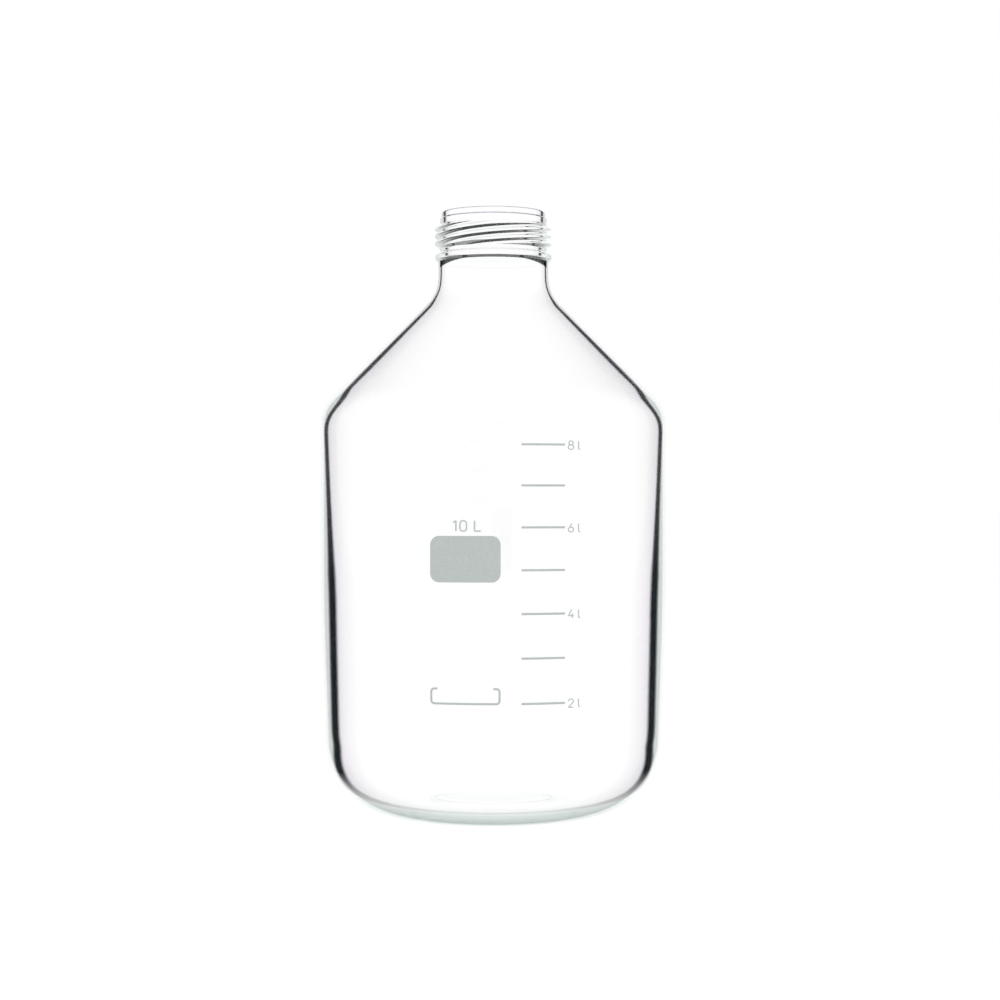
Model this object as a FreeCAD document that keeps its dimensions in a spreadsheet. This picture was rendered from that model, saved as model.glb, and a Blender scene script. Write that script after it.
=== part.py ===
import FreeCAD, Part
import math
import os
import re
import Sketcher

# Wide-mouth laboratory bottle, 10 litre, clear borosilicate glass with a fired enamel print.
# Millimetres. The origin is the centre of the ring that the bottle stands on, +Z runs up the
# axis through the mouth, and the print faces -Y.

# Driving sizes
SIZES = {
    # Body: an upright wall that tapers a little below the waist, and a cone under the neck
    "overall_height": 394.0,
    "body_diameter": 227.0,
    "waist_height": 135.0,
    "waist_radius": 400.0,
    "foot_inset_depth": 4.8,
    "bottom_radius": 50.0,
    "shoulder_radius": 24.0,
    "cone_angle": 45.0,
    # Underside: a flat ring to stand on, round a shallow push-up
    "ring_width": 5.0,
    "ring_radius": 12.0,
    "push_up_height": 5.0,
    "push_up_diameter": 44.0,
    "push_up_radius": 60.0,
    # Neck and lip
    "neck_length": 52.3,
    "neck_diameter": 73.6,
    "flare_radius": 25.0,
    "bead_diameter": 77.6,
    "bead_width": 6.4,
    "bead_depth": 30.0,
    "bead_radius": 1.0,
    "lip_diameter": 69.2,
    "lip_radius": 1.15,
    # Thread: ridges that follow each other round the neck
    "root_diameter": 71.2,
    "thread_diameter": 77.4,
    "thread_starts": 4,
    "thread_pitch": 5.0,
    "thread_clocking_angle": 27.9,
    "thread_top_depth": 5.5,
    "thread_bottom_depth": 25.0,
    "runout_length": 2.5,
    "ridge_width": 4.4,
    "ridge_crest_width": 1.6,
    "ridge_root_depth": 0.8,
    # Glass: thin at the shoulder and thick low down. The heel is the sharp corner of the cavity
    # before its round, so the glass is thicker there than this height
    "shoulder_thickness": 2.6,
    "waist_thickness": 7.9,
    "foot_thickness": 6.3,
    "cone_thickness": 4.8,
    "cone_top_thickness": 3.9,
    "neck_thickness": 2.6,
    "heel_thickness": 1.0,
    "centre_thickness": 9.0,
    # Cavity
    "inner_waist_radius": 1200.0,
    "inner_bottom_radius": 37.5,
    "inner_shoulder_radius": 26.0,
    "inner_flare_radius": 22.0,
    "floor_radius": 100.0,
    "bore_diameter": 64.0,
    "bore_depth": 25.0,
    "throat_length": 9.0,
    "throat_radius": 8.0,
    "cut_clearance": 1.0,
    # Enamel print
    "enamel_thickness": 0.2,
    "enamel_clearance": 0.04,
    "field_offset": -38.0,
    "field_width": 42.8,
    "field_bottom_height": 155.0,
    "field_height": 28.2,
    "field_radius": 5.5,
    "frame_offset": -38.0,
    "frame_width": 42.8,
    "frame_bottom_height": 80.8,
    "frame_height": 10.4,
    "frame_line_width": 1.3,
    "frame_radius": 2.6,
    "frame_return_length": 4.4,
    # Volume lines: the first is at 2 litres, and they close up as the wall gets thinner
    "line_offset": 17.4,
    "line_length": 26.5,
    "line_width": 1.3,
    "first_line_height": 81.4,
    "line_spacing": 27.8,
    "line_closing_length": 0.267,
}
FIRST_LITRE = 2
LAST_LITRE = 8

doc = FreeCAD.newDocument("laboratory_bottle")
sheet = doc.addObject("Spreadsheet::Sheet", "Sizes")
for row, (alias, value) in enumerate(SIZES.items(), start=1):
    sheet.set(f"A{row}", alias.replace("_", " "))
    sheet.set(f"B{row}", str(value))
    sheet.setAlias(f"B{row}", alias)
doc.recompute()
SHEET_NAMES = {alias: "Sizes." + alias for alias in SIZES}


def formula(text):
    """Writes a formula on the driving sizes with the sheet's name before each of them."""
    return re.sub(r"[a-z]\w*", lambda word: SHEET_NAMES.get(word.group(), word.group()), text)


def number(text):
    """The value of a formula on the driving sizes."""
    return float(sheet.evalExpression(formula(text)))


def plane(body, role):
    """One of the body's own origin planes or axes."""
    return next(item for item in body.Origin.OriginFeatures if item.Role == role)


def new_sketch(body, name, turn=0.0):
    """A sketch in the upright plane through the axis: x is the radius, y the height."""
    sketch = body.newObject("Sketcher::SketchObject", name)
    sketch.AttachmentSupport = [(plane(body, "XZ_Plane"), "")]
    sketch.MapMode = "FlatFace"
    sketch.AttachmentOffset = FreeCAD.Placement(
        FreeCAD.Vector(0, 0, 0), FreeCAD.Rotation(FreeCAD.Vector(0, 1, 0), turn))
    return sketch


def bind(sketch, kind, places, text):
    """Adds one dimension to a sketch and ties it to a formula."""
    index = sketch.addConstraint(Sketcher.Constraint(kind, *places, number(text)))
    sketch.setExpression(f"Constraints[{index}]", formula(text))


def place_point(sketch, element, end, across, up):
    """Fixes a sketch point by two formulas, its distance from the axis and its height."""
    for kind, axis, text in (("DistanceX", -2, across), ("DistanceY", -1, up)):
        if text == "0":
            sketch.addConstraint(Sketcher.Constraint("PointOnObject", element, end, axis))
        else:
            bind(sketch, kind, (-1, 1, element, end), text)


def draw_outline(sketch, corners):
    """Draws a closed outline of straight runs between corners.

    A corner is (across, up) where it is sharp, and (across, up, radius) where an arc rounds it.
    """
    count = len(corners)
    spots = [FreeCAD.Vector(number(corner[0]), number(corner[1]), 0) for corner in corners]
    cuts = []
    for index, corner in enumerate(corners):
        here = spots[index]
        back = (spots[index - 1] - here).normalize()
        ahead = (spots[(index + 1) % count] - here).normalize()
        if len(corner) == 2:
            cuts.append((here, here, None))
            continue
        half = back.getAngle(ahead) / 2
        radius = number(corner[2])
        reach = radius / math.tan(half)
        middle = here + (back + ahead).normalize() * (radius / math.sin(half))
        cuts.append((here + back * reach, here + ahead * reach, middle))
    runs = []
    for index in range(count):
        start = cuts[index][1]
        finish = cuts[(index + 1) % count][0]
        runs.append(sketch.addGeometry(Part.LineSegment(start, finish), False))
    for index, corner in enumerate(corners):
        before = runs[index - 1]
        after = runs[index]
        arrive, leave, middle = cuts[index]
        if middle is None:
            sketch.addConstraint(Sketcher.Constraint("Coincident", before, 2, after, 1))
            place_point(sketch, after, 1, corner[0], corner[1])
            continue
        left_turn = (arrive - middle).cross(leave - middle).z > 0
        first, last = (arrive, leave) if left_turn else (leave, arrive)
        angles = [math.atan2(spot.y - middle.y, spot.x - middle.x) for spot in (first, last)]
        circle = Part.Circle(middle, FreeCAD.Vector(0, 0, 1), number(corner[2]))
        arc = sketch.addGeometry(Part.ArcOfCircle(circle, angles[0], angles[1]), False)
        mark = sketch.addGeometry(Part.Point(spots[index]), True)
        place_point(sketch, mark, 1, corner[0], corner[1])
        sketch.addConstraint(Sketcher.Constraint("PointOnObject", mark, 1, before))
        sketch.addConstraint(Sketcher.Constraint("PointOnObject", mark, 1, after))
        ends = (1, 2) if left_turn else (2, 1)
        sketch.addConstraint(Sketcher.Constraint("Tangent", before, 2, arc, ends[0]))
        sketch.addConstraint(Sketcher.Constraint("Tangent", arc, ends[1], after, 1))
        bind(sketch, "Radius", (arc,), corner[2])


def turn_round(body, kind, name, corners):
    """Turns an outline once round the body's axis, to add glass or to take it away."""
    sketch = new_sketch(body, name + "_outline")
    draw_outline(sketch, corners)
    feature = body.newObject("PartDesign::" + kind, name)
    feature.Profile = sketch
    feature.ReferenceAxis = (plane(body, "Z_Axis"), [""])
    feature.Angle = 360
    doc.recompute()
    return feature


# Heights and lines that several outlines share
NECK_FOOT = "(overall_height - neck_length)"
NECK_TOP = "(overall_height - bead_depth)"
SHOULDER = f"({NECK_FOOT} - (body_diameter - neck_diameter) / 2 * tan(cone_angle))"
FOOT = "(body_diameter / 2 - foot_inset_depth)"
TAPER = "atan(foot_inset_depth / waist_height)"
RING_OUTSIDE = f"({FOOT} - bottom_radius / tan((90 deg + {TAPER}) / 2))"
THREAD_TOP = "(overall_height - thread_top_depth)"
THREAD_FOOT = "(overall_height - thread_bottom_depth)"
BURIED = "(root_diameter / 2 - ridge_root_depth)"
LIP_STEP = "((root_diameter - lip_diameter) / 2)"
CLEAR_OF_THREAD = "(thread_diameter / 2 + cut_clearance)"
RUNOUT_SLOPE = "(runout_length / ((thread_diameter - root_diameter) / 2))"
RUNOUT_RISE = f"({RUNOUT_SLOPE} * ({CLEAR_OF_THREAD} - root_diameter / 2))"


def cone_height(radius, depth="0"):
    """The height of the shoulder cone at a radius, a depth of glass below its outer face."""
    rise = f"(body_diameter / 2 - ({radius})) * tan(cone_angle)"
    return f"{SHOULDER} + {rise} - {depth} / cos(cone_angle)"


# Bottle: one piece of blown glass
bottle = doc.addObject("PartDesign::Body", "bottle")
bottle.Label = "bottle"

# The outer form, from the push-up under the floor to the flat top of the lip
turn_round(bottle, "Revolution", "outer_form", [
    ("0", "push_up_height"),
    ("push_up_diameter / 2", "push_up_height", "push_up_radius"),
    (f"{RING_OUTSIDE} - ring_width", "0", "ring_radius"),
    (FOOT, "0", "bottom_radius"),
    ("body_diameter / 2", "waist_height", "waist_radius"),
    ("body_diameter / 2", SHOULDER, "shoulder_radius"),
    ("neck_diameter / 2", NECK_FOOT, "flare_radius"),
    ("neck_diameter / 2", NECK_TOP),
    ("root_diameter / 2", NECK_TOP),
    ("root_diameter / 2", THREAD_TOP),
    ("lip_diameter / 2", f"{THREAD_TOP} + {LIP_STEP}"),
    ("lip_diameter / 2", "overall_height"),
    ("0", "overall_height"),
])

# One ridge of the right-hand thread, then its equals round the neck
ridge_start = f"({NECK_TOP} + ridge_width / 2)"
ridge_sketch = new_sketch(bottle, "ridge_outline", -number("thread_clocking_angle"))
ridge_sketch.setExpression("AttachmentOffset.Rotation.Angle", formula("thread_clocking_angle"))
ridge_sketch.setExpression("AttachmentOffset.Rotation.Axis.y", "-1")
draw_outline(ridge_sketch, [
    (BURIED, f"{ridge_start} - ridge_width / 2"),
    ("root_diameter / 2", f"{ridge_start} - ridge_width / 2"),
    ("thread_diameter / 2", f"{ridge_start} - ridge_crest_width / 2"),
    ("thread_diameter / 2", f"{ridge_start} + ridge_crest_width / 2"),
    ("root_diameter / 2", f"{ridge_start} + ridge_width / 2"),
    (BURIED, f"{ridge_start} + ridge_width / 2"),
])
ridge = bottle.newObject("PartDesign::AdditiveHelix", "thread_ridge")
ridge.Profile = ridge_sketch
ridge.ReferenceAxis = (ridge_sketch, ["V_Axis"])
ridge.Mode = "pitch-height-angle"
ridge.setExpression("Pitch", formula("thread_pitch * thread_starts"))
ridge.setExpression("Height", formula(f"{THREAD_TOP} + ridge_width / 2 - {ridge_start}"))
ridge.LeftHanded = False
doc.recompute()
ridges = bottle.newObject("PartDesign::PolarPattern", "thread_starts")
ridges.Originals = [ridge]
ridges.Axis = (plane(bottle, "Z_Axis"), [""])
ridges.Angle = 360
ridges.setExpression("Occurrences", formula("thread_starts"))
bottle.Tip = ridges
doc.recompute()

# The ridges run out into the neck at both ends of the thread
turn_round(bottle, "Groove", "lower_runout", [
    ("root_diameter / 2", NECK_TOP),
    (CLEAR_OF_THREAD, NECK_TOP),
    (CLEAR_OF_THREAD, f"{THREAD_FOOT} + {RUNOUT_RISE}"),
    ("root_diameter / 2", THREAD_FOOT),
])
turn_round(bottle, "Groove", "upper_runout", [
    ("root_diameter / 2", THREAD_TOP),
    (CLEAR_OF_THREAD, f"{THREAD_TOP} - {RUNOUT_RISE}"),
    (CLEAR_OF_THREAD, "overall_height"),
    ("lip_diameter / 2", "overall_height"),
    ("lip_diameter / 2", f"{THREAD_TOP} + {LIP_STEP}"),
])

# The bead under the thread
turn_round(bottle, "Revolution", "neck_bead", [
    (BURIED, f"{NECK_TOP} - bead_width / 4"),
    ("neck_diameter / 2", f"{NECK_TOP} - bead_width / 2"),
    ("bead_diameter / 2", f"{NECK_TOP} - bead_width / 5", "bead_radius"),
    ("bead_diameter / 2", f"{NECK_TOP} + bead_width / 5", "bead_radius"),
    ("root_diameter / 2", f"{NECK_TOP} + bead_width / 2"),
    (BURIED, f"{NECK_TOP} + bead_width / 4"),
])
solid_volume = bottle.Shape.Volume

# The cavity, from the floor to the mouth
neck_inside = "(neck_diameter / 2 - neck_thickness)"
shoulder_inside = "(body_diameter / 2 - shoulder_thickness)"
cavity = turn_round(bottle, "Groove", "cavity", [
    ("0", "push_up_height + centre_thickness"),
    ("push_up_diameter / 2", "push_up_height + centre_thickness", "floor_radius"),
    (f"{FOOT} - foot_thickness", "heel_thickness", "inner_bottom_radius"),
    ("body_diameter / 2 - waist_thickness", "waist_height", "inner_waist_radius"),
    (shoulder_inside, cone_height(shoulder_inside, "cone_thickness"), "inner_shoulder_radius"),
    (neck_inside, cone_height(neck_inside, "cone_top_thickness"), "inner_flare_radius"),
    (neck_inside, "overall_height - bore_depth - throat_length", "throat_radius"),
    ("bore_diameter / 2", "overall_height - bore_depth", "throat_radius"),
    ("bore_diameter / 2", "overall_height + cut_clearance"),
    ("0", "overall_height + cut_clearance"),
])

# The fire-polished lip: both edges of the flat top ring are rounded
top = number("overall_height")
rim = [
    f"Edge{index}" for index, edge in enumerate(bottle.Shape.Edges, start=1)
    if math.isclose(edge.BoundBox.ZMin, top) and math.isclose(edge.BoundBox.ZMax, top)
]
polish = bottle.newObject("PartDesign::Fillet", "lip_polish")
polish.Base = (cavity, rim)
polish.setExpression("Radius", formula("min(lip_radius; 0.45 * (lip_diameter - bore_diameter) / 2)"))
bottle.Tip = polish
doc.recompute()

# Enamel: a thin film that follows the outer wall, cut to the shape of each print
film = doc.addObject("PartDesign::Body", "enamel_film")
film_top = f"({SHOULDER} - shoulder_radius * tan(cone_angle / 2))"
film_outside = "enamel_clearance + enamel_thickness"
turn_round(film, "Revolution", "film_ring", [
    (f"{FOOT} + enamel_clearance", "0"),
    (f"{FOOT} + {film_outside}", "0"),
    (f"body_diameter / 2 + {film_outside}", "waist_height", f"waist_radius + {film_outside}"),
    (f"body_diameter / 2 + {film_outside}", film_top),
    ("body_diameter / 2 + enamel_clearance", film_top),
    ("body_diameter / 2 + enamel_clearance", "waist_height", "waist_radius + enamel_clearance"),
])


def print_on_wall(label, outlines):
    """One fired print: the part of the film that lies behind the given outlines."""
    stencil = doc.addObject("PartDesign::Body", label + "_stencil")
    sketch = new_sketch(stencil, label + "_outline")
    for corners in outlines:
        draw_outline(sketch, corners)
    pad = stencil.newObject("PartDesign::Pad", label + "_pad")
    pad.Profile = sketch
    pad.setExpression("Length", formula(f"body_diameter / 2 + {film_outside} + cut_clearance"))
    doc.recompute()
    fired = doc.addObject("Part::Common", label)
    fired.Label = label
    fired.Base = film
    fired.Tool = stencil
    doc.recompute()
    return fired


def box_outline(left, bottom, width, height, radius=None):
    """The four corners of an upright rectangle, rounded where a radius is given."""
    ends = [(left, bottom), (f"{left} + {width}", bottom),
            (f"{left} + {width}", f"{bottom} + {height}"), (left, f"{bottom} + {height}")]
    return [corner + (radius,) for corner in ends] if radius else ends


writing_field = print_on_wall("writing_field", [
    box_outline("field_offset", "field_bottom_height", "field_width", "field_height", "field_radius"),
])

line_heights = [
    f"(first_line_height + {step} * line_spacing - {step * step} * line_closing_length)"
    for step in range(LAST_LITRE - FIRST_LITRE + 1)
]
graduation_lines = print_on_wall("graduation_lines", [
    box_outline("line_offset", f"{height} - line_width / 2", "line_length", "line_width")
    for height in line_heights if number(height) < number(film_top)
])

frame_right = "frame_offset + frame_width"
frame_top = "frame_bottom_height + frame_height"
inside_round = "frame_radius - frame_line_width"
code_frame = print_on_wall("code_frame", [[
    ("frame_offset", "frame_bottom_height", "frame_radius"),
    (frame_right, "frame_bottom_height", "frame_radius"),
    (frame_right, frame_top, "frame_radius"),
    (f"{frame_right} - frame_return_length", frame_top),
    (f"{frame_right} - frame_return_length", f"{frame_top} - frame_line_width"),
    (f"{frame_right} - frame_line_width", f"{frame_top} - frame_line_width", inside_round),
    (f"{frame_right} - frame_line_width", "frame_bottom_height + frame_line_width", inside_round),
    ("frame_offset + frame_line_width", "frame_bottom_height + frame_line_width", inside_round),
    ("frame_offset + frame_line_width", f"{frame_top} - frame_line_width", inside_round),
    ("frame_offset + frame_return_length", f"{frame_top} - frame_line_width"),
    ("frame_offset + frame_return_length", frame_top),
    ("frame_offset", frame_top, "frame_radius"),
]])

# Tests before anything is written
for item in doc.Objects:
    if "Invalid" in item.State or "Error" in item.State:
        raise RuntimeError(f"{item.Name} failed: {item.State}")
if bottle.Shape.Volume > 0.6 * solid_volume:
    raise RuntimeError("the cavity was not cut")

os.makedirs("parts", exist_ok=True)
for piece in (bottle, writing_field, graduation_lines, code_frame):
    shape = piece.Shape
    if shape.isNull() or not shape.isValid():
        raise RuntimeError(f"{piece.Label} has no valid shape")
    print(f"{piece.Label}: {len(shape.Solids)} solids, {shape.Volume / 1000:.2f} ml")
    shape.exportStep(os.path.join("parts", piece.Label + ".step"))
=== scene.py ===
import math

import bpy
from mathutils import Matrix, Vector


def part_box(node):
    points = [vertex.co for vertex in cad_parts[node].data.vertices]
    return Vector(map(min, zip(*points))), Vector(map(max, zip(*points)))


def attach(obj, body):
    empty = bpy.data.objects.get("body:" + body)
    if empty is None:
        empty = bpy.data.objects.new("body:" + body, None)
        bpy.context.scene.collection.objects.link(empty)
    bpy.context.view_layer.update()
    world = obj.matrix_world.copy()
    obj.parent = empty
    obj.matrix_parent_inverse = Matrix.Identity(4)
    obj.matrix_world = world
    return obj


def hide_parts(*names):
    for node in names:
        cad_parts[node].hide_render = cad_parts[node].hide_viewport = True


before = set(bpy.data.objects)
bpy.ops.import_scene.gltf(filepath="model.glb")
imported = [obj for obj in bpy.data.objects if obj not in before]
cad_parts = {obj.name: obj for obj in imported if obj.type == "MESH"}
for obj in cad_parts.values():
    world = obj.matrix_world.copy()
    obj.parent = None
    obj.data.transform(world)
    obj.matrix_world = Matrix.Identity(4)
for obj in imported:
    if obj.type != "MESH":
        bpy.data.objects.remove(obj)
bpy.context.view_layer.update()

# Bottle: one piece of clear borosilicate glass, blown into a mould and fire-polished at the lip.
# Its wall is thin at the shoulder and thick low down, so the inner skin is an outline of its own.
# The four-start thread stands on the outer skin of the neck and runs out at both ends.
MM = 0.001
BOTTLE_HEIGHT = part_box("bottle")[1][2]

# Outer skin, from the push-up under the bottom to the lip
PUSH_UP = 5.0 * MM
PUSH_UP_RADIUS = 22.0 * MM
RING_RADIUS = 55.4 * MM
BODY_RADIUS = 113.5 * MM
FOOT_RADIUS = BODY_RADIUS - 4.8 * MM
WAIST = 135.0 * MM
NECK_RADIUS = 36.8 * MM
NECK_FOOT = BOTTLE_HEIGHT - 52.3 * MM
SHOULDER = NECK_FOOT - (BODY_RADIUS - NECK_RADIUS)
BEAD_MIDDLE = BOTTLE_HEIGHT - 30.0 * MM
BEAD_RADIUS = 38.8 * MM
BEAD_REACH = 3.2 * MM
BEAD_FLAT = 1.28 * MM
ROOT_RADIUS = 35.6 * MM
LIP_RADIUS = 34.6 * MM
LIP_FOOT = BOTTLE_HEIGHT - 4.8 * MM
LIP_SLOPE = 1.0 * MM

# Inner skin: the bore, the throat that opens below it, and the cavity
BORE_RADIUS = 32.0 * MM
BORE_FOOT = BOTTLE_HEIGHT - 25.0 * MM
THROAT_FOOT = BOTTLE_HEIGHT - 34.0 * MM
NECK_INSIDE = NECK_RADIUS - 2.6 * MM
CONE_WALL_TOP = 3.9 * MM
CONE_WALL_FOOT = 4.8 * MM
SHOULDER_INSIDE = BODY_RADIUS - 3.4 * MM
WAIST_INSIDE = BODY_RADIUS - 7.9 * MM
FOOT_INSIDE = FOOT_RADIUS - 6.3 * MM
HEEL_CORNER = 1.0 * MM
FLOOR_HEIGHT = 14.0 * MM

# Thread: its ridges cross the front of the neck at the phase height and every pitch from there
THREAD_TOP = BOTTLE_HEIGHT - 8.4 * MM
THREAD_FOOT = BOTTLE_HEIGHT - 25.0 * MM
THREAD_PHASE = 372.75 * MM
THREAD_STARTS = 4
THREAD_PITCH = 5.0 * MM
RIDGE_HEIGHT = 3.1 * MM
RIDGE_WIDTH = 4.6 * MM
RIDGE_CREST = 0.8 * MM
RUNOUT = 3.2 * MM

SEGMENTS = 192
ARC_STEP = math.radians(2.8)
LEAST_STEPS = 3
FINE_STEPS = 8
EASED_FROM = 15.0 * MM
EASED_TO = 40.0 * MM
SHORT_RUN = 2.0 * MM
GUARD = 0.6 * MM


def cone_inside(radius, wall):
    """Height of the inner skin at a radius, under a wall of this thickness on the 45 degree cone."""
    return SHOULDER + BODY_RADIUS - radius - wall * math.sqrt(2)


# Corners of the turned outline: radius, height, rounding, longest run to the next corner
outer_corners = [
    (0.0, PUSH_UP, 0.0, 6 * MM),
    (PUSH_UP_RADIUS, PUSH_UP, 250 * MM, 12 * MM),
    (RING_RADIUS, 0.0, 45 * MM, 6 * MM),
    (FOOT_RADIUS, 0.0, 50 * MM, 12 * MM),
    (BODY_RADIUS, WAIST, 1500 * MM, 16 * MM),
    (BODY_RADIUS, SHOULDER, 28 * MM, 12 * MM),
    (NECK_RADIUS, NECK_FOOT, 25 * MM, 4 * MM),
    (NECK_RADIUS, BEAD_MIDDLE - BEAD_REACH, 0.5 * MM, 1 * MM),
    (BEAD_RADIUS, BEAD_MIDDLE - BEAD_FLAT, 1.0 * MM, 1 * MM),
    (BEAD_RADIUS, BEAD_MIDDLE + BEAD_FLAT, 1.0 * MM, 1 * MM),
    (ROOT_RADIUS, BEAD_MIDDLE + BEAD_REACH, 0.6 * MM, 0.33 * MM),
    (ROOT_RADIUS, LIP_FOOT, 0.5 * MM, 0.5 * MM),
    (LIP_RADIUS, LIP_FOOT + LIP_SLOPE, 0.5 * MM, 1.5 * MM),
    (LIP_RADIUS, BOTTLE_HEIGHT, 1.25 * MM, 1 * MM),
]
inner_corners = [
    (BORE_RADIUS, BOTTLE_HEIGHT, 1.25 * MM, 4 * MM),
    (BORE_RADIUS, BORE_FOOT, 8 * MM, 2 * MM),
    (NECK_INSIDE, THROAT_FOOT, 8 * MM, 3 * MM),
    (NECK_INSIDE, cone_inside(NECK_INSIDE, CONE_WALL_TOP), 26 * MM, 12 * MM),
    (SHOULDER_INSIDE, cone_inside(SHOULDER_INSIDE, CONE_WALL_FOOT), 26 * MM, 16 * MM),
    (WAIST_INSIDE, WAIST, 1200 * MM, 16 * MM),
    (FOOT_INSIDE, HEEL_CORNER, 37.5 * MM, 10 * MM),
    (PUSH_UP_RADIUS, FLOOR_HEIGHT, 250 * MM, 6 * MM),
    (0.0, FLOOR_HEIGHT, 0.0, 6 * MM),
]


def bend_points(corner, ahead, turn, rounding):
    """Points round one corner: an arc or, for the larger roundings but not the widest, an eased bend.

    An eased bend tightens and opens gradually, and cuts the corner as far as its arc would.
    """
    ease = 1.0 if EASED_FROM < rounding < EASED_TO else 0.0
    steps = FINE_STEPS * max(LEAST_STEPS, math.ceil(abs(turn) / ARC_STEP))
    path = [Vector((0.0, 0.0))]
    for step in range(steps):
        share = (step + 0.5) / steps
        heading = turn * (share - ease * math.sin(math.tau * share) / math.tau)
        path.append(path[-1] + Vector((math.cos(heading), math.sin(heading))))
    apex = Vector((path[-1].x - path[-1].y / math.tan(turn), 0.0))
    size = rounding * (1 / math.cos(turn / 2) - 1) / (path[steps // 2] - apex).length
    aside = Vector((-ahead.y, ahead.x))
    return [corner + (ahead * (spot.x - apex.x) + aside * spot.y) * size for spot in path[::FINE_STEPS]]


def rounded_outline(corners):
    """Points along straight runs with rounded corners between them.

    A long run starts and ends with a short piece, which keeps the smooth shading of the bends off it.
    """
    spots = [Vector((radius, height)) for radius, height, rounding, longest in corners]
    points = [spots[0]]
    for index in range(1, len(corners)):
        rounding = corners[index][2]
        longest = corners[index - 1][3]
        bend = [spots[index]]
        if rounding:
            ahead = (spots[index] - spots[index - 1]).normalized()
            turn = -ahead.angle_signed(spots[index + 1] - spots[index])
            bend = bend_points(spots[index], ahead, turn, rounding)
        start = points[-1]
        run = bend[0] - start
        if run.length > SHORT_RUN:
            pieces = max(1, math.ceil(run.length / longest))
            guard = min(GUARD, run.length / 4) / run.length
            shares = [guard + (1 - 2 * guard) * piece / pieces for piece in range(pieces + 1)]
            points += [start + run * share for share in shares]
        points += bend
    return points


def put(tree, kind, inputs=(), **settings):
    """Adds one node, sets its options, and feeds its inputs from values or from other sockets."""
    node = tree.nodes.new(kind)
    for name, value in settings.items():
        setattr(node, name, value)
    for key, value in dict(inputs).items():
        if isinstance(value, bpy.types.NodeSocket):
            tree.links.new(value, node.inputs[key])
        else:
            node.inputs[key].default_value = value
    return node


def calc(tree, operation, *values):
    """One Math node and its result."""
    return put(tree, "ShaderNodeMath", enumerate(values), operation=operation).outputs[0]


def product(tree, first, *others):
    """Several values multiplied together."""
    for other in others:
        first = calc(tree, "MULTIPLY", first, other)
    return first


def between(tree, value, start, end):
    """A share that goes from 0 to 1 while a value goes from start to end."""
    return put(tree, "ShaderNodeMapRange", {
        "Value": value, "From Min": start, "From Max": end, "To Min": 0.0, "To Max": 1.0}).outputs[0]


def ramp(tree, place, stops):
    """A colour that follows a value from stop to stop."""
    node = put(tree, "ShaderNodeValToRGB", {"Fac": place})
    elements = node.color_ramp.elements
    while len(elements) < len(stops):
        elements.new(0.5)
    for element, (position, colour) in zip(elements, stops):
        element.position = position
        element.color = colour + (1,)
    return node.outputs[0]


def blend(tree, share, first, second, way="MIX"):
    """A colour between two others, or the first one multiplied by the second."""
    return put(tree, "ShaderNodeMix", {"Factor": share, "A": first, "B": second},
               data_type="RGBA", blend_type=way).outputs["Result"]


def node_tree(name, sizes):
    """A Geometry Nodes tree with named inputs, its input sockets and its output socket."""
    tree = bpy.data.node_groups.new(name, "GeometryNodeTree")
    tree.interface.new_socket("Geometry", in_out="INPUT", socket_type="NodeSocketGeometry")
    for label, kind in sizes.items():
        tree.interface.new_socket(label, in_out="INPUT", socket_type="NodeSocket" + kind)
    tree.interface.new_socket("Geometry", in_out="OUTPUT", socket_type="NodeSocketGeometry")
    return tree, tree.nodes.new("NodeGroupInput").outputs, tree.nodes.new("NodeGroupOutput").inputs


def grow(name, mesh, tree, values):
    """Runs a Geometry Nodes tree on a mesh and keeps the result as a plain object."""
    piece = bpy.data.objects.new(name, mesh)
    bpy.context.collection.objects.link(piece)
    modifier = piece.modifiers.new("grow", "NODES")
    modifier.node_group = tree
    for item in tree.interface.items_tree:
        if item.in_out == "INPUT" and item.name in values:
            modifier[item.identifier] = values[item.name]
    graph = bpy.context.evaluated_depsgraph_get()
    result = bpy.data.meshes.new_from_object(piece.evaluated_get(graph))
    piece.modifiers.clear()
    piece.data = result
    return piece


# Clear glass: painted shade in light from the cavity and from the outer skin, at each Layer Weight Facing
REFRACTIVE_INDEX = 1.473
WHITE = (1.0, 1.0, 1.0)
LINE_FACING = 0.267
PAINTED_CAVITY_LINE = [
    (0.246, WHITE),
    (0.257, (0.015, 0.02, 0.025)),
    (0.276, (0.015, 0.02, 0.02)),
    (0.286, WHITE),
]
PAINTED_PALE_HALO = [
    (0.180, WHITE),
    (0.235, (0.92, 0.90, 0.935)),
    (0.255, (0.80, 0.77, 0.82)),
    (0.290, (0.86, 0.89, 0.88)),
    (0.340, (0.97, 0.98, 0.975)),
]
SLANTED_MIRROR = [
    (0.42, WHITE),
    (0.60, (0.04, 0.04, 0.045)),
    (0.77, (0.04, 0.04, 0.045)),
    (0.82, WHITE),
]

# Parts with painted shade, each a range of the surface's tilt, of Facing or of height, and its colour
UNDERSIDE_TILT = (-0.58, -0.74)
UNDERSIDE_FACING = (0.72, 0.50)
UNDERSIDE_FROM = BEAD_MIDDLE - 12 * MM
WEDGE_EDGE = BEAD_MIDDLE - 1.9 * MM
WEDGE_FALL = 8 * MM
WEDGE_BLUR = 0.3 * MM
WEDGE_TOP = BEAD_MIDDLE - 2.9 * MM
WEDGE_FACING = 0.70
NECK_SHADE = (0.03, 0.035, 0.04, 1)
LIP_TILT = (0.35, 0.65)
LIP_FACING = 0.28
LIP_FROM = LIP_FOOT - 1 * MM
PAINTED_LIP_SHADE = (0.50, 0.45, 0.54, 1)
HEEL_TILT = (-0.66, -0.88)
PAINTED_HEEL_SHADE = (0.78, 0.815, 0.81, 1)

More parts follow.
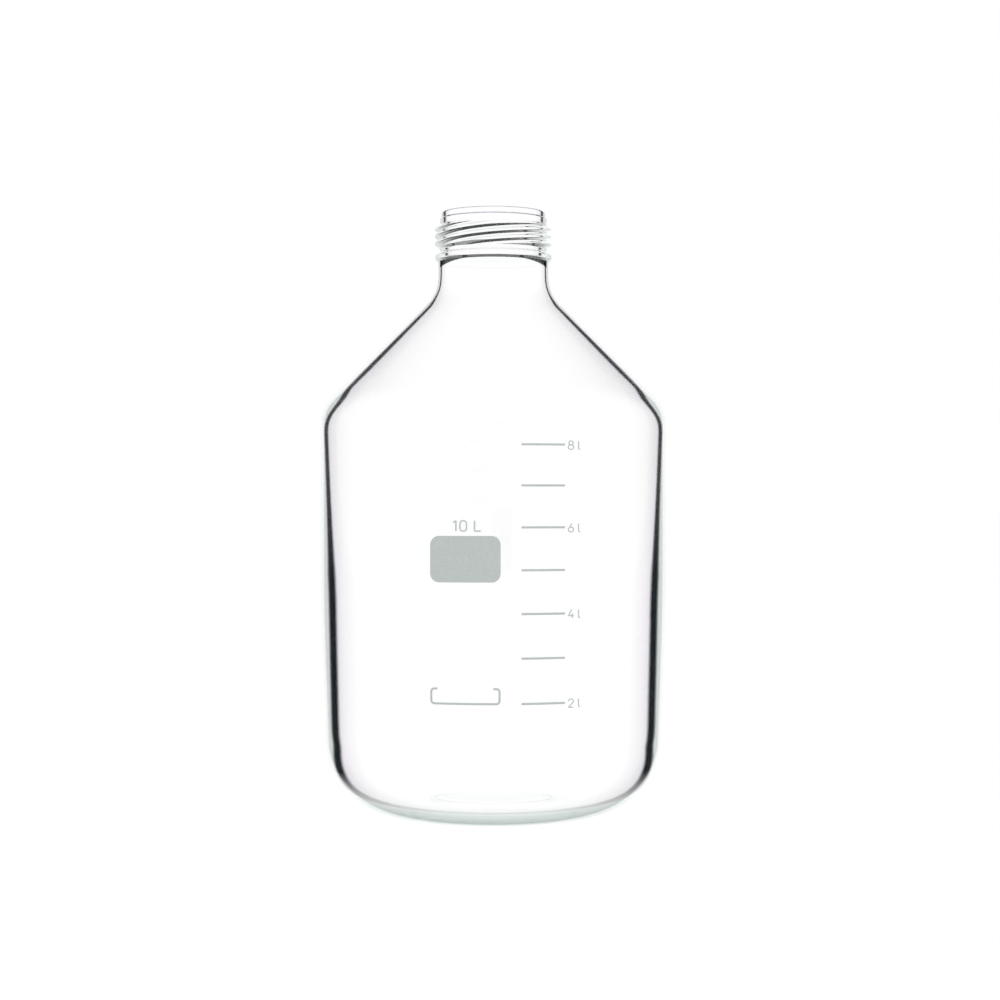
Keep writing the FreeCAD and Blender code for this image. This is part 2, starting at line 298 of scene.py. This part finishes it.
# Limits of Ray Depth: the near outer skin and the near inner skin lie below the first two, and above
# the last is light trapped in the wall, which then goes straight on
NEAR_OUTER_SKIN = 0.5
NEAR_INNER_SKIN = 1.5
TRAPPED = 6.5
CLEAR_SHEET = (0.97, 0.98, 0.975, 1)
GLASS_BODY = (0.80, 0.96, 0.86, 1)
BODY_DENSITY = 2.0


def cavity_light(tree, facing, from_cavity):
    """The colour of light from the cavity: white, with a painted dark line and halo on the near wall."""
    sharpness = put(tree, "ShaderNodeAttribute", attribute_name="line_sharpness").outputs["Fac"]
    strength = put(tree, "ShaderNodeAttribute", attribute_name="line_strength").outputs["Fac"]
    aside = calc(tree, "SUBTRACT", facing, LINE_FACING)
    place = calc(tree, "MULTIPLY_ADD", aside, sharpness, LINE_FACING)
    shown = calc(tree, "MULTIPLY", from_cavity, strength)
    light = blend(tree, shown, (1, 1, 1, 1), ramp(tree, place, PAINTED_CAVITY_LINE))
    return blend(tree, shown, light, ramp(tree, place, PAINTED_PALE_HALO), "MULTIPLY")


def neck_shade(tree, facing, tilt, height):
    """Painted shade on the neck: on the undersides of the thread and the bead, and in a wedge below it."""
    underside = between(tree, tilt, *UNDERSIDE_TILT)
    underside = calc(tree, "MULTIPLY", underside, between(tree, facing, *UNDERSIDE_FACING))
    edge = calc(tree, "MULTIPLY_ADD", facing, -WEDGE_FALL, WEDGE_EDGE)
    wedge = between(tree, calc(tree, "SUBTRACT", height, edge), -WEDGE_BLUR, WEDGE_BLUR)
    below_bead = calc(tree, "LESS_THAN", height, WEDGE_TOP)
    wedge = product(tree, wedge, below_bead, calc(tree, "LESS_THAN", facing, WEDGE_FACING))
    on_neck = calc(tree, "GREATER_THAN", height, UNDERSIDE_FROM)
    return calc(tree, "MULTIPLY", calc(tree, "MAXIMUM", underside, wedge), on_neck)


def lip_shade(tree, facing, tilt, height):
    """Where the lip's upward slopes carry a painted shade."""
    turned_away = calc(tree, "GREATER_THAN", facing, LIP_FACING)
    on_lip = calc(tree, "GREATER_THAN", height, LIP_FROM)
    return product(tree, between(tree, tilt, *LIP_TILT), turned_away, on_lip)


def heel_shade(tree, tilt, height):
    """Where the underside of the heel carries a painted grey shade."""
    return calc(tree, "MULTIPLY", between(tree, tilt, *HEEL_TILT), calc(tree, "LESS_THAN", height, WAIST))


def clear_glass():
    """Clear borosilicate glass, with the dark sides of a photo studio painted in.

    The scene itself is white all round. The angle of sight places a dark line at the cavity and a
    dark slanted reflection on the outer skin. Tilt, height and angle place the shaded parts.
    """
    material = bpy.data.materials.new("clear_glass")
    material.use_nodes = True
    tree = material.node_tree
    tree.nodes.clear()
    facing = put(tree, "ShaderNodeLayerWeight", {"Blend": 0.5}).outputs["Facing"]
    geometry = put(tree, "ShaderNodeNewGeometry").outputs
    tilt = put(tree, "ShaderNodeSeparateXYZ", {0: geometry["Normal"]}).outputs["Z"]
    place = put(tree, "ShaderNodeTexCoord").outputs["Object"]
    height = put(tree, "ShaderNodeSeparateXYZ", {0: place}).outputs["Z"]
    path = put(tree, "ShaderNodeLightPath").outputs
    passed = path["Ray Depth"]
    inside = put(tree, "ShaderNodeAttribute", attribute_name="inner_skin").outputs["Fac"]
    outside = calc(tree, "SUBTRACT", 1.0, inside)
    from_cavity = product(tree, geometry["Backfacing"], inside,
                          calc(tree, "LESS_THAN", passed, NEAR_INNER_SKIN))
    at_front = calc(tree, "MULTIPLY", outside, calc(tree, "LESS_THAN", passed, NEAR_OUTER_SKIN))

    through = cavity_light(tree, facing, from_cavity)
    # Painted dark reflection on the outer skin at slanted Facing
    mirrored = blend(tree, at_front, through, ramp(tree, facing, SLANTED_MIRROR))
    # Painted shade on the neck, the lip and the heel, laid over the light through the near outer skin
    for shade, painted_colour in ((neck_shade(tree, facing, tilt, height), NECK_SHADE),
                        (lip_shade(tree, facing, tilt, height), PAINTED_LIP_SHADE),
                        (heel_shade(tree, tilt, height), PAINTED_HEEL_SHADE)):
        through = blend(tree, calc(tree, "MULTIPLY", shade, at_front), through, painted_colour)

    bent = put(tree, "ShaderNodeBsdfRefraction", {
        "Color": through, "Roughness": 0.0, "IOR": REFRACTIVE_INDEX})
    thrown = put(tree, "ShaderNodeBsdfGlossy", {"Color": mirrored, "Roughness": 0.0})
    share = put(tree, "ShaderNodeFresnel", {"IOR": REFRACTIVE_INDEX}).outputs[0]
    glass = put(tree, "ShaderNodeMixShader", {0: share, 1: bent.outputs[0], 2: thrown.outputs[0]})
    clear = put(tree, "ShaderNodeBsdfTransparent", {"Color": CLEAR_SHEET})
    straight_on = calc(tree, "MAXIMUM", path["Is Shadow Ray"], path["Is Diffuse Ray"])
    straight_on = calc(tree, "MAXIMUM", straight_on, calc(tree, "GREATER_THAN", passed, TRAPPED))
    surface = put(tree, "ShaderNodeMixShader", {0: straight_on, 1: glass.outputs[0], 2: clear.outputs[0]})
    body = put(tree, "ShaderNodeVolumeAbsorption", {"Color": GLASS_BODY, "Density": BODY_DENSITY})
    put(tree, "ShaderNodeOutputMaterial", {"Surface": surface.outputs[0], "Volume": body.outputs[0]})
    return material


def turned_glass_tree():
    """Turns the outline round the axis, raises the thread on its outer skin and gives it its glass."""
    tree, given, result = node_tree("turned_glass", {
        "Segments": "Int", "Thread Foot": "Float", "Thread Top": "Float", "Thread Phase": "Float",
        "Starts": "Int", "Pitch": "Float", "Ridge Height": "Float", "Ridge Width": "Float",
        "Ridge Crest": "Float", "Runout": "Float", "Glass": "Material"})
    outline = given["Geometry"]
    rows = put(tree, "GeometryNodeAttributeDomainSize", {"Geometry": outline}).outputs["Point Count"]
    columns = calc(tree, "ADD", given["Segments"], 1)
    grid = put(tree, "GeometryNodeMeshGrid", {"Vertices X": columns, "Vertices Y": rows}).outputs["Mesh"]
    index = put(tree, "GeometryNodeInputIndex").outputs[0]
    row = calc(tree, "MODULO", index, rows)
    column = calc(tree, "FLOOR", calc(tree, "DIVIDE", calc(tree, "ADD", index, 0.5), rows))
    angle = calc(tree, "DIVIDE", calc(tree, "MULTIPLY", column, math.tau), given["Segments"])

    position = put(tree, "GeometryNodeInputPosition").outputs[0]
    sample = put(tree, "GeometryNodeSampleIndex", {"Geometry": outline, "Value": position, "Index": row},
                 data_type="FLOAT_VECTOR")
    place = put(tree, "ShaderNodeSeparateXYZ", {0: sample.outputs[0]}).outputs
    marks = {}
    for name in ("inner_skin", "line_strength", "line_sharpness"):
        mark = put(tree, "GeometryNodeInputNamedAttribute", {"Name": name}, data_type="FLOAT").outputs[0]
        read = put(tree, "GeometryNodeSampleIndex", {"Geometry": outline, "Value": mark, "Index": row},
                   data_type="FLOAT")
        marks[name] = read.outputs[0]

    # Distance from the nearest ridge, along the axis; at -Y the ridges pass through the phase height
    turns = calc(tree, "DIVIDE", calc(tree, "ADD", angle, math.pi / 2), math.tau)
    climb = calc(tree, "MULTIPLY", turns, given["Starts"])
    rise = calc(tree, "DIVIDE", calc(tree, "SUBTRACT", place["Z"], given["Thread Phase"]), given["Pitch"])
    wave = calc(tree, "SUBTRACT", rise, climb)
    off = calc(tree, "ABSOLUTE", calc(tree, "SUBTRACT", wave, calc(tree, "ROUND", wave)))
    off = calc(tree, "MULTIPLY", off, given["Pitch"])
    half_crest = calc(tree, "DIVIDE", given["Ridge Crest"], 2)
    half_width = calc(tree, "DIVIDE", given["Ridge Width"], 2)
    ridge = put(tree, "ShaderNodeMapRange", {
        "Value": off, "From Min": half_crest, "From Max": half_width,
        "To Min": given["Ridge Height"], "To Max": 0.0}, interpolation_type="SMOOTHSTEP").outputs[0]
    slope = calc(tree, "DIVIDE", given["Ridge Height"], given["Runout"])
    below = calc(tree, "MULTIPLY", calc(tree, "SUBTRACT", place["Z"], given["Thread Foot"]), slope)
    above = calc(tree, "MULTIPLY", calc(tree, "SUBTRACT", given["Thread Top"], place["Z"]), slope)
    limit = calc(tree, "MAXIMUM", calc(tree, "MINIMUM", below, above), 0.0)
    outer_skin = calc(tree, "SUBTRACT", 1.0, marks["inner_skin"])
    lift = calc(tree, "MULTIPLY", calc(tree, "MINIMUM", ridge, limit), outer_skin)
    radius = calc(tree, "ADD", place["X"], lift)

    spot = put(tree, "ShaderNodeCombineXYZ", {
        "X": calc(tree, "MULTIPLY", radius, calc(tree, "COSINE", angle)),
        "Y": calc(tree, "MULTIPLY", radius, calc(tree, "SINE", angle)),
        "Z": place["Z"]}).outputs[0]
    stored = grid
    for name, mark in marks.items():
        keep = put(tree, "GeometryNodeStoreNamedAttribute", {
            "Geometry": stored, "Name": name, "Value": mark}, data_type="FLOAT", domain="POINT")
        stored = keep.outputs[0]
    turned = put(tree, "GeometryNodeSetPosition", {"Geometry": stored, "Position": spot}).outputs[0]
    welded = put(tree, "GeometryNodeMergeByDistance", {"Geometry": turned, "Distance": 1e-6}).outputs[0]
    smooth = put(tree, "GeometryNodeSetShadeSmooth", {"Geometry": welded}).outputs[0]
    real = put(tree, "GeometryNodeRealizeInstances", {"Geometry": smooth}).outputs[0]
    glazed = put(tree, "GeometryNodeSetMaterial", {"Geometry": real, "Material": given["Glass"]}).outputs[0]
    tree.links.new(glazed, result["Geometry"])
    return tree


# The painted dark line's heights: it fades in above the heel, and narrows high on the body and at the
# shoulder
FADE_FROM = 11 * MM
FADE_RISE = 21 * MM
NARROW_FROM = 155 * MM
NARROW_RISE = 65 * MM
NARROW_FADE = 0.07
CORNER_PLACE = SHOULDER + 6 * MM
CORNER_SPREAD = 9 * MM
CORNER_SHARPNESS = 0.8
PLAIN_FROM = BEAD_MIDDLE - 4 * MM


def upper_share(height):
    """0 low on the body, and 1 from below the shoulder up."""
    return min(1.0, max(0.0, (height - NARROW_FROM) / NARROW_RISE))


def line_strength(height):
    """How dark the painted line is: none of it under the heel, full on the body, a little less high up."""
    return min(1.0, max(0.0, (height - FADE_FROM) / FADE_RISE)) * (1 - NARROW_FADE * upper_share(height))


def line_sharpness(height):
    """How quickly the line passes: 1 low on the body and by the thread, 2 between, more at the shoulder."""
    if height > PLAIN_FROM:
        return 1.0
    at_corner = math.exp(-((height - CORNER_PLACE) / CORNER_SPREAD) ** 2)
    return 1.0 + upper_share(height) + CORNER_SHARPNESS * at_corner


outline_points = rounded_outline(outer_corners + inner_corners)
lip_middle = (LIP_RADIUS + BORE_RADIUS) / 2
past_lip = next(index for index, point in enumerate(outline_points)
                if point.y > LIP_FOOT and point.x < lip_middle)
outline = bpy.data.meshes.new("bottle_outline")
outline.from_pydata([(point.x, 0.0, point.y) for point in outline_points],
                    [(index, index + 1) for index in range(len(outline_points) - 1)], [])
marks = {
    "inner_skin": [float(index >= past_lip) for index in range(len(outline_points))],
    "line_strength": [line_strength(point.y) for point in outline_points],
    "line_sharpness": [line_sharpness(point.y) for point in outline_points],
}
for name, values in marks.items():
    outline.attributes.new(name, "FLOAT", "POINT").data.foreach_set("value", values)

bottle = grow("bottle_glass", outline, turned_glass_tree(), {
    "Segments": SEGMENTS, "Thread Foot": THREAD_FOOT, "Thread Top": THREAD_TOP,
    "Thread Phase": THREAD_PHASE, "Starts": THREAD_STARTS, "Pitch": THREAD_PITCH,
    "Ridge Height": RIDGE_HEIGHT, "Ridge Width": RIDGE_WIDTH, "Ridge Crest": RIDGE_CREST,
    "Runout": RUNOUT, "Glass": clear_glass()})
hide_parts("bottle")
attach(bottle, "root")

# Writing field, volume lines and open frame: a ground glass colour, screen-printed on the wall.
# Fired into it, it is a thin satin film of pale grey green, with the fine pits that the screen left.
ENAMEL = (0.508, 0.558, 0.546, 1)
ENAMEL_PALE = (0.56, 0.61, 0.60, 1)
MOTTLE_SCALE = 900.0
MOTTLE_SPREAD = (0.35, 0.65)
PIT_DEPTH = 0.05 * MM


def fired_enamel():
    """Satin enamel that mottles between two tones, with pits in the same places."""
    material = bpy.data.materials.new("fired_enamel")
    material.use_nodes = True
    tree = material.node_tree
    tree.nodes.clear()
    place = put(tree, "ShaderNodeTexCoord").outputs["Object"]
    mottle = put(tree, "ShaderNodeTexNoise", {
        "Vector": place, "Scale": MOTTLE_SCALE, "Detail": 3.0}).outputs[0]
    tone = blend(tree, between(tree, mottle, *MOTTLE_SPREAD), ENAMEL, ENAMEL_PALE)
    pits = put(tree, "ShaderNodeBump", {"Height": mottle, "Strength": 0.25, "Distance": PIT_DEPTH}).outputs[0]
    paint = put(tree, "ShaderNodeBsdfPrincipled", {"Base Color": tone, "Roughness": 0.55, "Normal": pits})
    put(tree, "ShaderNodeOutputMaterial", {"Surface": paint.outputs[0]})
    return material


enamel = fired_enamel()
for name in ("writing_field", "graduation_lines", "code_frame"):
    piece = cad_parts[name]
    piece.data.materials.clear()
    piece.data.materials.append(enamel)

# Numerals: the litres beside every second line and the bottle's own volume, in the same fired print.
# They are strokes of one width, drawn like stencil figures and printed on the curved wall.

# Strokes of each figure, in shares of its height; one that ends where it starts is closed
GLYPHS = {
    "0": [[(0, 0), (0.62, 0), (0.62, 1), (0, 1), (0, 0)]],
    "1": [[(0, 0.8), (0.29, 1)], [(0.29, 1), (0.29, 0)]],
    "2": [[(0, 0.72), (0, 1), (0.62, 1), (0.62, 0.6), (0, 0)], [(0, 0), (0.62, 0)]],
    "4": [[(0.40, 1), (0, 0.28)], [(0, 0.28), (0.66, 0.28)], [(0.48, 0.55), (0.48, 0)]],
    "6": [[(0, 0), (0.62, 0), (0.62, 0.58), (0, 0.58), (0, 0)], [(0.42, 1), (0.07, 0.45)]],
    "8": [[(0, 0), (0.64, 0), (0.64, 0.55), (0, 0.55), (0, 0)],
          [(0.06, 0.55), (0.58, 0.55), (0.58, 1), (0.06, 1), (0.06, 0.55)]],
    "L": [[(0, 1), (0, 0)], [(0, 0), (0.6, 0)]],
    "l": [[(0, 1), (0, 0), (0.2, 0)]],
}
STROKE_ROUND = 0.28
ROUND_POINTS = 6
PEN_POINTS = 10
FILM = 0.2 * MM
FILM_MIDDLE = 0.6

# The 2 litre line's height, the spacing there, and how the spacing closes up towards the shoulder
FIRST_LINE = 81.4 * MM
LINE_SPACING = 27.8 * MM
LINE_CLOSING = 0.267 * MM

LITRE_HEIGHT = 5.1 * MM
LITRE_STROKE = 0.72 * MM
LITRE_LEFT = 46.0 * MM
LITRE_UNIT_LEFT = 52.3 * MM
LITRE_DROP = 0.3 * MM
VOLUME_HEIGHT = 6.3 * MM
VOLUME_STROKE = 0.95 * MM
VOLUME_FOOT = 186.1 * MM
VOLUME_FIGURES = (("1", -24.1 * MM), ("0", -19.8 * MM), ("L", -11.0 * MM))


def printed_strokes_tree():
    """Turns drawn strokes into a thin raised print that follows the body's wall on the -Y side."""
    tree, given, result = node_tree("printed_strokes", {
        "Stroke Width": "Float", "Corner Radius": "Float", "Body Radius": "Float", "Waist": "Float",
        "Taper": "Float", "Film": "Float", "Print": "Material"})
    strokes = put(tree, "GeometryNodeMeshToCurve", {"Mesh": given["Geometry"]}).outputs[0]
    rounded = put(tree, "GeometryNodeFilletCurve", {
        "Curve": strokes, "Count": ROUND_POINTS, "Radius": given["Corner Radius"],
        "Limit Radius": True}, mode="POLY").outputs[0]
    pen_radius = calc(tree, "DIVIDE", given["Stroke Width"], 2)
    pen = put(tree, "GeometryNodeCurvePrimitiveCircle", {
        "Resolution": PEN_POINTS, "Radius": pen_radius}, mode="RADIUS").outputs[0]
    drawn = put(tree, "GeometryNodeCurveToMesh", {
        "Curve": rounded, "Profile Curve": pen, "Fill Caps": True}).outputs[0]

    # The pen's round section is pressed flat to the film and bent round the wall, which tapers to the foot
    position = put(tree, "GeometryNodeInputPosition").outputs[0]
    place = put(tree, "ShaderNodeSeparateXYZ", {0: position}).outputs
    below = calc(tree, "MAXIMUM", calc(tree, "SUBTRACT", given["Waist"], place["Z"]), 0.0)
    wall = calc(tree, "SUBTRACT", given["Body Radius"], calc(tree, "MULTIPLY", below, given["Taper"]))
    thick = calc(tree, "DIVIDE", calc(tree, "MULTIPLY", place["Y"], given["Film"]), given["Stroke Width"])
    middle = calc(tree, "MULTIPLY", given["Film"], FILM_MIDDLE)
    reach = calc(tree, "ADD", wall, calc(tree, "SUBTRACT", middle, thick))
    across = calc(tree, "MULTIPLY", place["X"], place["X"])
    depth = calc(tree, "SQRT", calc(tree, "SUBTRACT", calc(tree, "MULTIPLY", reach, reach), across))
    spot = put(tree, "ShaderNodeCombineXYZ", {
        "X": place["X"], "Y": calc(tree, "MULTIPLY", depth, -1.0), "Z": place["Z"]}).outputs[0]
    laid = put(tree, "GeometryNodeSetPosition", {"Geometry": drawn, "Position": spot}).outputs[0]
    real = put(tree, "GeometryNodeRealizeInstances", {"Geometry": laid}).outputs[0]
    inked = put(tree, "GeometryNodeSetMaterial", {"Geometry": real, "Material": given["Print"]}).outputs[0]
    tree.links.new(inked, result["Geometry"])
    return tree


def written(figures, height):
    """The strokes of some figures, given as (figure, left, foot), as a mesh of bare edges."""
    points, edges = [], []
    for figure, left, foot in figures:
        for stroke in GLYPHS[figure]:
            closed = stroke[0] == stroke[-1]
            run = stroke[:-1] if closed else stroke
            first = len(points)
            points += [(left + x * height, 0.0, foot + y * height) for x, y in run]
            edges += [(index, index + 1) for index in range(first, len(points) - 1)]
            edges += [(len(points) - 1, first)] if closed else []
    mesh = bpy.data.meshes.new("figures")
    mesh.from_pydata(points, edges, [])
    return mesh


print_tree = printed_strokes_tree()
litres = []
for litre in (2, 4, 6, 8):
    step = litre - 2
    line = FIRST_LINE + step * LINE_SPACING - step * step * LINE_CLOSING
    foot = line - LITRE_HEIGHT / 2 - LITRE_DROP
    litres += [(str(litre), LITRE_LEFT, foot), ("l", LITRE_UNIT_LEFT, foot)]
volume = [(figure, left, VOLUME_FOOT) for figure, left in VOLUME_FIGURES]
for name, figures, height, stroke in (("litre_numerals", litres, LITRE_HEIGHT, LITRE_STROKE),
                                      ("volume_numeral", volume, VOLUME_HEIGHT, VOLUME_STROKE)):
    numerals = grow(name, written(figures, height), print_tree, {
        "Stroke Width": stroke, "Corner Radius": STROKE_ROUND * height, "Body Radius": BODY_RADIUS,
        "Waist": WAIST, "Taper": (BODY_RADIUS - FOOT_RADIUS) / WAIST, "Film": FILM, "Print": enamel})
    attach(numerals, "root")

# Floor: a wide sheet of white paper under the bottle. It shows white to the camera, in metal and in
# glass, with a trace of shadow and of sheen.
FLOOR_REACH = 30
PAPER = (0.9, 0.9, 0.9, 1)
PAPER_GLOW = 1.04
GLOW_SHARE = 0.9
SHEEN_SHARE = 0.03
SHEEN_ROUGHNESS = 0.06


def sees_background(tree):
    """1 for rays from the camera and for those that metal and glass send on, 0 for the others."""
    path = put(tree, "ShaderNodeLightPath").outputs
    sent_on = calc(tree, "MAXIMUM", path["Is Glossy Ray"], path["Is Transmission Ray"])
    return calc(tree, "MAXIMUM", path["Is Camera Ray"], sent_on)


def white_floor():
    """White paper that glows for the rays that see the background."""
    material = bpy.data.materials.new("white_floor")
    material.use_nodes = True
    tree = material.node_tree
    tree.nodes.clear()
    paper = put(tree, "ShaderNodeBsdfDiffuse", {"Color": PAPER})
    glow = put(tree, "ShaderNodeEmission", {"Color": (1, 1, 1, 1), "Strength": PAPER_GLOW})
    mirror = put(tree, "ShaderNodeBsdfGlossy", {"Color": (1, 1, 1, 1), "Roughness": SHEEN_ROUGHNESS})
    lit = calc(tree, "MULTIPLY", sees_background(tree), GLOW_SHARE)
    white = put(tree, "ShaderNodeMixShader", {0: lit, 1: paper.outputs[0], 2: glow.outputs[0]})
    from_camera = put(tree, "ShaderNodeLightPath").outputs["Is Camera Ray"]
    shiny = calc(tree, "MULTIPLY", from_camera, SHEEN_SHARE)
    sheen = put(tree, "ShaderNodeMixShader", {0: shiny, 1: white.outputs[0], 2: mirror.outputs[0]})
    put(tree, "ShaderNodeOutputMaterial", {"Surface": sheen.outputs[0]})
    return material


floor_mesh = bpy.data.meshes.new("floor")
floor_corners = [(-1, -1), (1, -1), (1, 1), (-1, 1)]
floor_mesh.from_pydata([(x * FLOOR_REACH, y * FLOOR_REACH, 0) for x, y in floor_corners], [], [(0, 1, 2, 3)])
floor_mesh.materials.append(white_floor())
floor = bpy.data.objects.new("floor", floor_mesh)
bpy.context.collection.objects.link(floor)

# Light: a white studio that lights the bottle more softly than it looks, and a large lamp on each side
STUDIO_LIGHT = 0.7
STUDIO_SEEN = 1.0
LAMPS = (("left_lamp", (-1.6, -1.4, 2.0), 14.0), ("right_lamp", (1.6, -1.2, 2.0), 12.0))
LAMP_SIZE = 1.2
LAMP_AIM = Vector((0, 0, 0.2))

world = bpy.data.worlds.new("studio")
world.use_nodes = True
bpy.context.scene.world = world
tree = world.node_tree
tree.nodes.clear()
soft = put(tree, "ShaderNodeBackground", {"Color": (1, 1, 1, 1), "Strength": STUDIO_LIGHT})
white = put(tree, "ShaderNodeBackground", {"Color": (1, 1, 1, 1), "Strength": STUDIO_SEEN})
studio = put(tree, "ShaderNodeMixShader", {0: sees_background(tree), 1: soft.outputs[0], 2: white.outputs[0]})
put(tree, "ShaderNodeOutputWorld", {"Surface": studio.outputs[0]})

for name, spot, power in LAMPS:
    lamp = bpy.data.lights.new(name, "AREA")
    lamp.size = LAMP_SIZE
    lamp.energy = power
    holder = bpy.data.objects.new(name, lamp)
    bpy.context.collection.objects.link(holder)
    holder.location = spot
    holder.rotation_euler = (LAMP_AIM - Vector(spot)).to_track_quat("-Z", "Y").to_euler()
    holder.visible_glossy = False
    holder.visible_transmission = False

# Camera: level, in front of the print; the focal share is the focal length per width of the frame
CAMERA_DISTANCE = 1.350
CAMERA_HEIGHT = 0.2049
CAMERA_SIDE = 0.0044
FOCAL_SHARE = 2.0486
SENSOR_WIDTH = 36.0

camera_data = bpy.data.cameras.new("camera")
camera_data.sensor_width = SENSOR_WIDTH
camera_data.lens = FOCAL_SHARE * SENSOR_WIDTH
camera = bpy.data.objects.new("camera", camera_data)
bpy.context.collection.objects.link(camera)
camera.location = (CAMERA_SIDE, -CAMERA_DISTANCE, CAMERA_HEIGHT)
camera.rotation_euler = (math.pi / 2, 0, 0)
bpy.context.scene.camera = camera

bpy.context.scene.view_settings.view_transform = "Standard"
bpy.context.scene.cycles.max_bounces = 32
bpy.context.scene.cycles.transmission_bounces = 32
bpy.context.scene.cycles.glossy_bounces = 16
